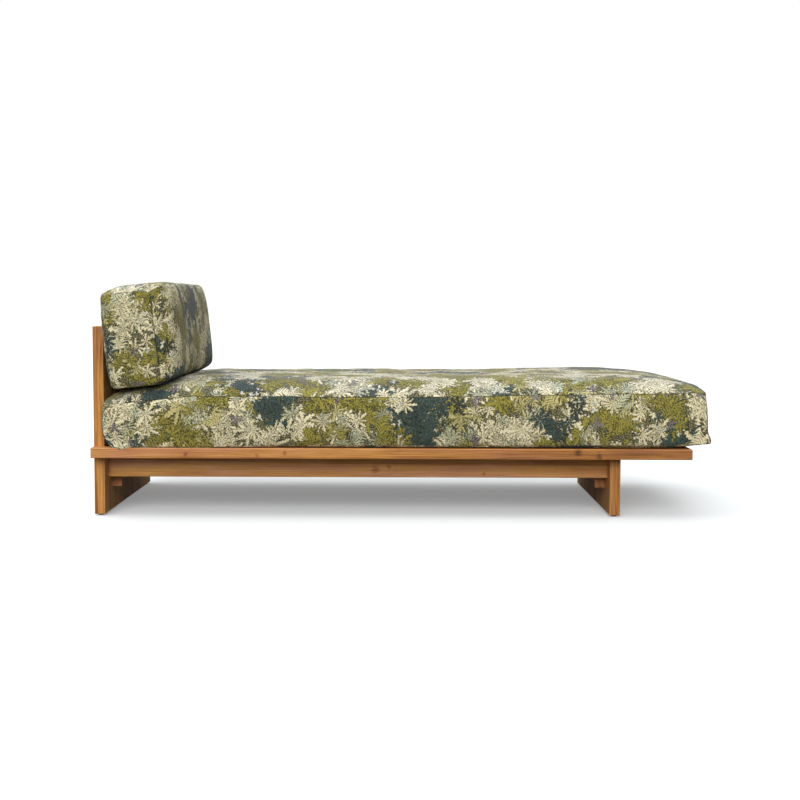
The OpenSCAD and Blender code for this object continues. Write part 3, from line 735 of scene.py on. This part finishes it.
def leaves(away, chance, turn, ragged, size, lobes, width):
    """Inside and shade of leaves. Pointed lobes with saw teeth stand round each stalk, and one half of each
    lobe is in the light."""
    x, y = away.parts()[:2]
    turned = y.math("ARCTAN2", x) * (lobes / math.tau) + turn * lobes
    lobe = turned.math("ROUND")
    lean = turned - lobe
    off = abs(lean)
    luck = lobe.add("ShaderNodeTexWhiteNoise", {"noise_dimensions": "2D"},
                    {"Vector": lobe.math("FLOORED_MODULO", lobes).joined(chance * 91.0, 0.0)}, "Value")
    along = away.length() / (luck * 0.30 + 0.36)
    tooth = (along * (size * 45) - off * 2.5).math("FRACT")
    inside = (1 - along ** 2.0) * width - tooth * 0.34 + ragged * 0.5 - off * 2
    lit = lean.rise(-0.06, 0.06)
    edge = inside.rise(0.26, 0.0)
    return inside, luck * 0.45 + lit * 0.42 + tooth.rise(0.9, 0.2) * 0.34 - edge * 0.75 - 0.18


def fronds(away, chance, turn, ragged, size, leaflets, width):
    """Inside and shade of feathered fronds, with pointed leaflets slanting off a curved rib."""
    x, y = away.parts()[:2]
    angle = turn * math.tau
    cosine, sine = angle.math("COSINE"), angle.math("SINE")
    along = x * cosine + y * sine
    across = abs(y * cosine - x * sine + along * along * 0.9 - 0.08)
    leaflet = (along * leaflets - across * (leaflets * 0.9) + ragged * 0.5).math("FRACT")
    reach = ((along + 0.5) * math.pi).math("SINE") * width * (1 - abs(leaflet - 0.5) * 1.7)
    inside = (reach - across + ragged * 0.1) * 4
    rib = (0.02 - across) * 9 - (abs(along) - 0.44).math("MAXIMUM", 0.0) * 99
    return inside.math("MAXIMUM", rib), leaflet.rise(0.1, 0.5) * 0.9 - inside.rise(0.2, 0.0) * 0.4


def foliage_cloth():
    made, cloth = new_finish("printed_canvas", "UV")
    bend = cloth.add("ShaderNodeTexNoise", {"noise_dimensions": "2D"},
                     {"Vector": cloth, "Scale": 22.0, "Detail": 1.0}, "Color")
    bend = bend.vector("SUBTRACT", (0.5, 0.5, 0.5)).vector("MULTIPLY", (0.022, 0.022, 0.0))
    at = cloth.vector("ADD", bend)
    ragged = at.noise(150.0, 2.0) - 0.5
    flecks = at.noise(260.0, 1.0)
    colour = flecks.rise(0.40, 0.60).over(ink, undergrowth)

    # Growth from the ground up: its kind, size, share of the cells, lobes or leaflets, and width
    layers = [
        (leaves, 0.12, 0.95, 9, 1.1), (fronds, 0.12, 0.60, 10, 0.42), (leaves, 0.13, 0.95, 8, 1.15),
        (leaves, 0.10, 0.85, 9, 1.05), (leaves, 0.07, 0.75, 7, 1.0), (leaves, 0.11, 0.80, 8, 1.05),
        (leaves, 0.075, 0.65, 9, 1.0), (fronds, 0.08, 0.25, 8, 0.38), (leaves, 0.05, 0.60, 6, 0.95),
    ]
    deep_tones, light_tones = [[(start, tones[which]) for name, start, *tones in palette] for which in (0, 1)]
    for seed, (kind, size, share, parts, width) in enumerate(layers, 1):
        away, (chance, turn, hue), green, dark = scatter(at, size, seed)
        inside, shade = kind(away, chance, turn, ragged, size, parts, width)
        paint = green + hue * 0.11 - 0.055 + (dark + hue * 0.09 - 0.045).math("GREATER_THAN", dark_from)
        leaf = (shade + ragged * 0.8 + hue * 0.3 + 0.13).limited()
        deep, light = paint.ramp(deep_tones, "CONSTANT"), paint.ramp(light_tones, "CONSTANT")
        here = chance.math("LESS_THAN", share)
        colour = (inside.rise(-0.22, 0.0) * here * 0.6).over(colour, shadow)
        colour = (inside.rise(0.0, 0.07) * here).over(colour, leaf.over(deep, light))

    # Small flowers: seed, size, share, petals, tones, and how dark the print is where they grow
    flowers = [(21, 0.050, 0.12, 5, mauve, 0.0, 0.54), (22, 0.070, 0.9, 7, night, 0.572, 0.602),
               (23, 0.024, 0.65, 3, white, 0.575, 0.60)]
    for seed, size, share, petals, tones, low, high in flowers:
        away, (chance, turn, hue), green, dark = scatter(at, size, seed)
        inside, shade = leaves(away, chance, turn, ragged, size, petals, 1.1)
        here = chance.math("LESS_THAN", share) * dark.math("GREATER_THAN", low) * dark.math("LESS_THAN", high)
        leaf = (shade + ragged + hue * 0.4).limited()
        colour = (inside.rise(0.0, 0.07) * here).over(colour, leaf.over(*tones))
    colour = (flecks.rise(0.37, 0.30) * 0.75).over(colour, ink)

    u, v = cloth.parts()[:2]
    warp, weft = [(way * (math.pi / thread_pitch)).math("SINE") for way in (u, v)]
    turn = (warp * weft).rise(-0.3, 0.3)
    weave = abs(warp) * turn + abs(weft) * (1 - turn)
    slub = cloth.noise((900.0, 60.0, 1.0), 1.0) * 0.5 + cloth.noise((60.0, 900.0, 1.0), 1.0) * 0.5
    colour = ((1 - weave) * 0.22).over(colour, yarn)
    # Painted sheen: faces turned to the sky are tinted greyer and bluer, and the sides a little warmer.
    sky_facing_sheen = cloth.beside("Normal").parts()[2].rise(0.3, 0.9)
    colour = sky_facing_sheen.over(colour.vector("MULTIPLY", side_tint), colour.vector("MULTIPLY", painted_sheen_tint))
    # The seams are darkened along a band, in patches: partly dark thread, partly painted shade in the sewn
    # groove.
    seam = weave.add("ShaderNodeAttribute", {"attribute_name": "seam"}, {}, "Fac")
    seam_shade_patches = cloth.noise(45.0, 2.0).rise(0.30, 0.60) * 0.6 + 0.4
    colour = (seam.rise(0.15, 0.80) * seam_shade_patches * 0.85).over(colour, seam_thread_and_shade)
    seal(weave + slub * 0.8, 0.0004, 0.4, {"Sheen Weight": 0.12, "Specular IOR Level": 0.22},
         {"Base Color": colour, "Roughness": slub * 0.16 + 0.78})
    return made


canvas = foliage_cloth()
mattress.data.materials.append(canvas)
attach(mattress, "mattress")
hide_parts("mattress_cover", "mattress_core")


# Back cushion. The same cloth over foam, six panels, loose. It sits in the dent
# it presses into the mattress and leans on the head slab's top edge, so that its
# front swells out between the ends.

cushion_inset = 0.010
cushion_half = cad_high.y - cushion_inset
front_bow, front_crown, front_roll = 0.052, 0.014, 0.036
top_bow, top_crown, end_swell = 0.018, 0.005, 0.008
corner_round = 0.008


def leaning(a, y, b):
    """A place in the cushion's thickness and height, turned to its lean."""
    cosine, sine = math.cos(cushion_lean), math.sin(cushion_lean)
    return np.stack([seat_start + a * cosine - b * sine, y, seat_height + a * sine + b * cosine], -1)


def arch(fraction):
    """0 at both ends of a side, 1 in its middle and nearly flat there."""
    return 1 - (2 * fraction - 1) ** 4


def cushion_point(along, across, up):
    """along runs from the slab to the front, across from the front end to the rear one."""
    side = 2 * across - 1
    full = swell(side, 10)
    rise = up * up * (3 - 2 * up) * 0.5 + up * 0.5
    belly = arch(rise)
    high = cushion_height + top_bow * full * (0.45 + 0.55 * smooth(along * 3)) + 0.0012 * np.sin(side * 19)
    roll = 1 - (1 - np.clip(high * rise / front_roll, 0, 1)) ** 3
    bow = (front_bow + front_crown * belly) * full * roll
    front = cushion_thick + bow + 0.0012 * np.sin(side * 23 + 4 * up)
    rear = -back_crown * full * belly
    a = rear + (front - rear) * along
    b = high * rise + top_crown * full * arch(along) * up ** 3
    # The corners of both ends are rounded off, and each end swells in its middle
    near_end = np.abs(side) ** 24
    level, depth = 2 * up - 1, 2 * along - 1
    a = a - depth * corner_round * np.abs(level) ** 14 * near_end
    b = b - corner_round * np.abs(depth) ** 8 * near_end * np.where(up > 0.5, level, -1.5 * (1 - up) ** 10)
    y = side * (cushion_half + end_swell * arch(along) * arch(up) * np.abs(side) ** 8)
    return leaning(a, y, np.maximum(b, 0.0))


cushion, cushion_grid, cushion_seams = sewn_box("back_cushion_sewn", cushion_point, 0.0095, 45)
x, y, z = fill_with_foam(cushion, cushion_seams).T
forward, upward = x - seat_start, z - seat_height
a = forward * math.cos(cushion_lean) + upward * math.sin(cushion_lean)
b = upward * math.cos(cushion_lean) - forward * math.sin(cushion_lean)
filled = leaning(np.maximum(a, -back_crown), y, np.maximum(b, 2 * touch_gap))
filled[:, 0] = np.maximum(filled[:, 0], slab_face + touch_gap)
settle(cushion, filled)
cushion.data.materials.append(canvas)
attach(cushion, "back_cushion")
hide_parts("back_cushion_cover", "back_cushion_core")


# Zips. A coil zip closes each cover, along the rear boxing of the mattress and
# low on the cushion's back panel. Its tape is sewn down along both edges, and a
# steel slider with a pull tab runs on the nylon coil.

tape_half, tape_rise, tape_thick = 0.013, 0.0006, 0.0008
tape_step, tape_columns, seam_inset = 0.006, 7, 0.0035
coil_half, coil_thick, coil_pitch, coil_stagger = 0.0026, 0.0011, 0.0016, 0.0007
stitch_length, stitch_pitch, thread_thick = 0.0030, 0.0046, 0.0007
plate_edge = 0.0003
slider_thick, slider_rise, slider_way = 0.0028, 0.0026, 0.006
pull_thick, pull_rise = 0.0012, 0.0048


def panel_line(panel, height, stops):
    """Places on a panel of the cover, at one height above its lower seam and at these lengths along it."""
    line = np.array([[np.interp(height, run_of(column), column[:, k]) for k in range(3)] for column in panel])
    run = run_of(line)
    return np.stack([np.interp(stops, run, line[:, k]) for k in range(3)], -1)


def along_line(line):
    run = np.gradient(line, axis=0)
    return run / np.linalg.norm(run, axis=-1, keepdims=True)


def zip_tape_finish():
    made, place = new_finish("zip_tape", "UV")
    u, v = place.parts()[:2]
    slant, across = ((u + v) * (math.pi / 0.0012)).math("SINE"), (v * (math.pi / 0.0009)).math("SINE")
    twill = slant * across * 0.5 + 0.5
    wear = place.noise(90.0, 2.0)
    shade = (twill * 0.6 + wear * 0.4).over(seen(44, 44, 32), seen(96, 94, 70))
    seal(twill, 0.0003, 0.5, {"Specular IOR Level": 0.25},
         {"Base Color": shade, "Roughness": wear * 0.15 + 0.75})
    return made


def spun_finish(name, dark, light, roughness):
    """Coil nylon or sewing thread, from its darkest to its lightest colour."""
    made, place = new_finish(name)
    grain = place.noise(1400.0, 2.0)
    colour = grain.rise(0.35, 0.65).over(seen(*dark), seen(*light))
    seal(grain, 0.0001, 0.3, {"IOR": 1.5}, {"Base Color": colour, "Roughness": grain * 0.2 + roughness})
    return made


def rod_rule(finish):
    """Short six-sided rods at the guide's points, each along its point's axis."""
    tree, size = new_rule("rods", ("Length", "Thickness"))
    rod = size["Length"].add("GeometryNodeMeshCylinder", {}, {
        "Vertices": 6, "Radius": size["Thickness"] * 0.5, "Depth": size["Length"]})
    end_rule(rod, size["Geometry"], finish)
    return tree


def oval(half_length, half_width, middle=0.0, power=1.0):
    """A closed outline, rounder or squarer by its power, with its middle this far along."""
    turns = np.linspace(0, math.tau, 28, endpoint=False)
    squared = [np.sign(part) * np.abs(part) ** power for part in (np.cos(turns), np.sin(turns))]
    return [(middle + half_length * x, half_width * y) for x, y in zip(*squared)]


def zip_body(name, outline, hole, thick, place):
    """A die-cast plate with rounded edges, laid on the panel. place holds its middle and its run, side and
    outward ways."""
    curve = bpy.data.curves.new(f"{name}_outline", "CURVE")
    curve.dimensions, curve.fill_mode = "2D", "BOTH"
    curve.extrude, curve.bevel_depth, curve.bevel_resolution = thick / 2 - plate_edge, plate_edge, 2
    for line in (outline, hole):
        spline = curve.splines.new("POLY")
        spline.points.add(len(line) - 1)
        spline.points.foreach_set("co", np.ravel([(x, y, 0, 1) for x, y in line]))
        spline.use_cyclic_u = True
    mesh = bpy.data.meshes.new_from_object(bpy.data.objects.new(f"{name}_outline", curve))
    mesh.name = name
    middle, *ways = place
    mesh.transform(Matrix.Translation(middle) @ Matrix(np.column_stack(ways).tolist()).to_4x4())
    mesh.materials.append(steel)
    return new_object(name, mesh)


tape_finish = zip_tape_finish()
coil_rule = rod_rule(spun_finish("coil_nylon", (58, 56, 40), (104, 100, 76), 0.32))
thread_rule = rod_rule(spun_finish("sewing_thread", (92, 88, 60), (150, 144, 104), 0.6))


def sew_zip(name, body, panel, height, start, end, outward):
    """Tape, coil, stitches and slider of one zip on a panel's grid of points."""
    stops, offs = np.arange(start, end, tape_step), np.linspace(-tape_half, tape_half, tape_columns)
    grid = np.stack([panel_line(panel, height + off, stops) for off in offs], 1)
    facing = np.cross(along_line(grid), along_line(grid.transpose(1, 0, 2)).transpose(1, 0, 2))
    facing /= np.linalg.norm(facing, axis=-1, keepdims=True)
    turn = 1 if facing.mean((0, 1)) @ outward > 0 else -1
    facing = facing * turn
    ids = np.arange(grid[..., 0].size).reshape(grid.shape[:2])
    ring = [ids[:-1, :-1], ids[1:, :-1], ids[1:, 1:], ids[:-1, 1:]][::turn]
    faces = np.stack(ring, -1).reshape(-1, 4)
    flat = np.stack(np.meshgrid(stops, offs, indexing="ij"), -1).reshape(-1, 2)
    mesh = bpy.data.meshes.new(f"{name}_tape")
    mesh.from_pydata((grid + facing * tape_rise).reshape(-1, 3).tolist(), [], faces.tolist())
    mesh.uv_layers.new(name="cloth").data.foreach_set("uv", flat[faces.ravel()].ravel())
    mesh.materials.append(tape_finish)
    tape = new_object(f"{name}_tape", mesh)
    wall = tape.modifiers.new("wall", "SOLIDIFY")
    wall.thickness, wall.offset = tape_thick, 1.0

    def spots(pitch, off, rise):
        """Places in a row along the tape, with the way along and the way out at each."""
        at = np.arange(start + pitch, end - pitch, pitch)
        line = panel_line(panel, height + off, at)
        out = np.stack([np.interp(at, stops, facing[:, tape_columns // 2, k]) for k in range(3)], -1)
        return line + out * (tape_rise + rise), along_line(line), out

    line, run, out = spots(coil_pitch, 0.0, tape_thick + coil_thick * 0.3)
    across = np.cross(out, run)
    line = line + across * (np.arange(len(line)) % 2 * 2 - 1)[:, None] * coil_stagger
    coil = work_out(f"{name}_coil", coil_rule, guide_points("coil", line.tolist(), across),
                    {"Length": coil_half * 2, "Thickness": coil_thick})
    both = [spots(stitch_pitch, side * (tape_half - seam_inset), tape_thick) for side in (-1, 1)]
    places = np.concatenate([line for line, run, out in both])
    ways = np.concatenate([run for line, run, out in both])
    stitches = work_out(f"{name}_stitches", thread_rule, guide_points("stitches", places.tolist(), ways),
                        {"Length": stitch_length, "Thickness": thread_thick})
    line, run, out = [row[4] for row in spots(coil_pitch, 0.0, tape_thick)]
    middle, ways = line + run * slider_way, (run, np.cross(out, run), out)
    slider = zip_body(f"{name}_slider", oval(0.0055, 0.0045, 0.0, 0.7), oval(0.0012, 0.0008, 0.002),
                      slider_thick, (middle + out * slider_rise, *ways))
    pull = zip_body(f"{name}_pull", oval(0.0110, 0.0032, 0.0105, 0.6), oval(0.0030, 0.0014, 0.0165, 0.7),
                    pull_thick, (middle + out * pull_rise, *ways))
    for piece, slot in ((tape, "leaf_fabric"), (coil, "glide_nylon"), (stitches, "leaf_fabric"),
                        (slider, "stainless_steel"), (pull, "stainless_steel")):
        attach(piece, body)


rear_panel = vectors_of(mattress.data.vertices, "co")[mattress_grid[:, -1, :]]
sew_zip("mattress_zip", "mattress", rear_panel, side_height * 0.5, 0.30, 1.70, np.array([0, 1, 0]))
back_panel = vectors_of(cushion.data.vertices, "co")[cushion_grid[0]]
sew_zip("cushion_zip", "back_cushion", back_panel, 0.045, 0.12, 0.78, np.array([-1, 0, 0]))


# The studio: a pale floor that runs on out of sight, a broad soft light from
# above the head end, a narrower one from the front, and even light from above.

floor_tone, floor_shown, floor_glow, floor_grain = 0.13, (0.61, 0.634, 0.643), 0.240, 0.01


def studio_floor():
    """A floor that the camera sees paler than it is, so that it throws little light on the bed."""
    made, place = new_finish("studio_floor")
    looked_at = place.add("ShaderNodeLightPath", {}, {}, "Is Camera Ray")
    grain = place.noise(40.0) * floor_grain + floor_tone
    tone = [looked_at * (shown - floor_tone) + grain for shown in floor_shown]
    diffuse = looked_at.add("ShaderNodeBsdfDiffuse", {}, {"Color": tone[0].joined(tone[1], tone[2])})
    glow = looked_at.add("ShaderNodeEmission", {}, {"Strength": looked_at * floor_glow})
    shader = diffuse.add("ShaderNodeAddShader", {}, {0: diffuse, 1: glow})
    shader.add("ShaderNodeOutputMaterial", {}, {"Surface": shader})
    return made


floor_mesh = bpy.data.meshes.new("floor")
floor_mesh.from_pydata([(-30, -30, 0), (30, -30, 0), (30, 60, 0), (-30, 60, 0)], [], [(0, 1, 2, 3)])
floor_mesh.materials.append(studio_floor())
new_object("floor", floor_mesh)

ceiling, backdrop = 0.75, 1.0
room = bpy.data.worlds.new("room")
room.use_nodes = True
room.node_tree.nodes.clear()
looked_at = Wire(room.node_tree).add("ShaderNodeLightPath", {}, {}, "Is Camera Ray")
height = looked_at.add("ShaderNodeTexCoord", {}, {}, "Generated").parts()[2]
shown = looked_at.math("MAXIMUM", looked_at.beside("Is Glossy Ray"))
shown = shown.math("MAXIMUM", looked_at.beside("Is Transmission Ray"))
strength = shown * backdrop + (1 - shown) * (height.rise(-0.1, 0.7) * ceiling)
glow = looked_at.add("ShaderNodeBackground", {}, {"Color": (1, 1, 1, 1), "Strength": strength})
glow.add("ShaderNodeOutputWorld", {}, {"Surface": glow})
bpy.context.scene.world = room


def soft_light(name, comes_from, strength, breadth):
    """A lamp as broad as this many degrees of the sky."""
    lamp = bpy.data.lights.new(name, "SUN")
    lamp.energy, lamp.angle = strength, math.radians(breadth)
    new_object(name, lamp).rotation_euler = Vector(comes_from).to_track_quat("Z", "Y").to_euler()


soft_light("key", (-0.35, 0.04, 1.0), 1.95, 80)
soft_light("fill", (-0.1, -1.0, 0.5), 2.35, 36)


# The camera, low in front of the bed and a little above the backrest's top.

camera_place = (-0.00545, -4.7404, 0.7199)
pitch, yaw, roll = math.radians(4.297), math.radians(0.036), math.radians(0.19)
view = bpy.data.cameras.new("view")
view.sensor_width, view.lens = 36.0, 58.508
camera = new_object("view", view)
camera.matrix_world = (Matrix.Translation(camera_place) @ Matrix.Rotation(-yaw, 4, "Z")
                       @ Matrix.Rotation(math.pi / 2 - pitch, 4, "X") @ Matrix.Rotation(roll, 4, "Z"))
bpy.context.scene.camera = camera
bpy.context.scene.view_settings.view_transform = "Standard"
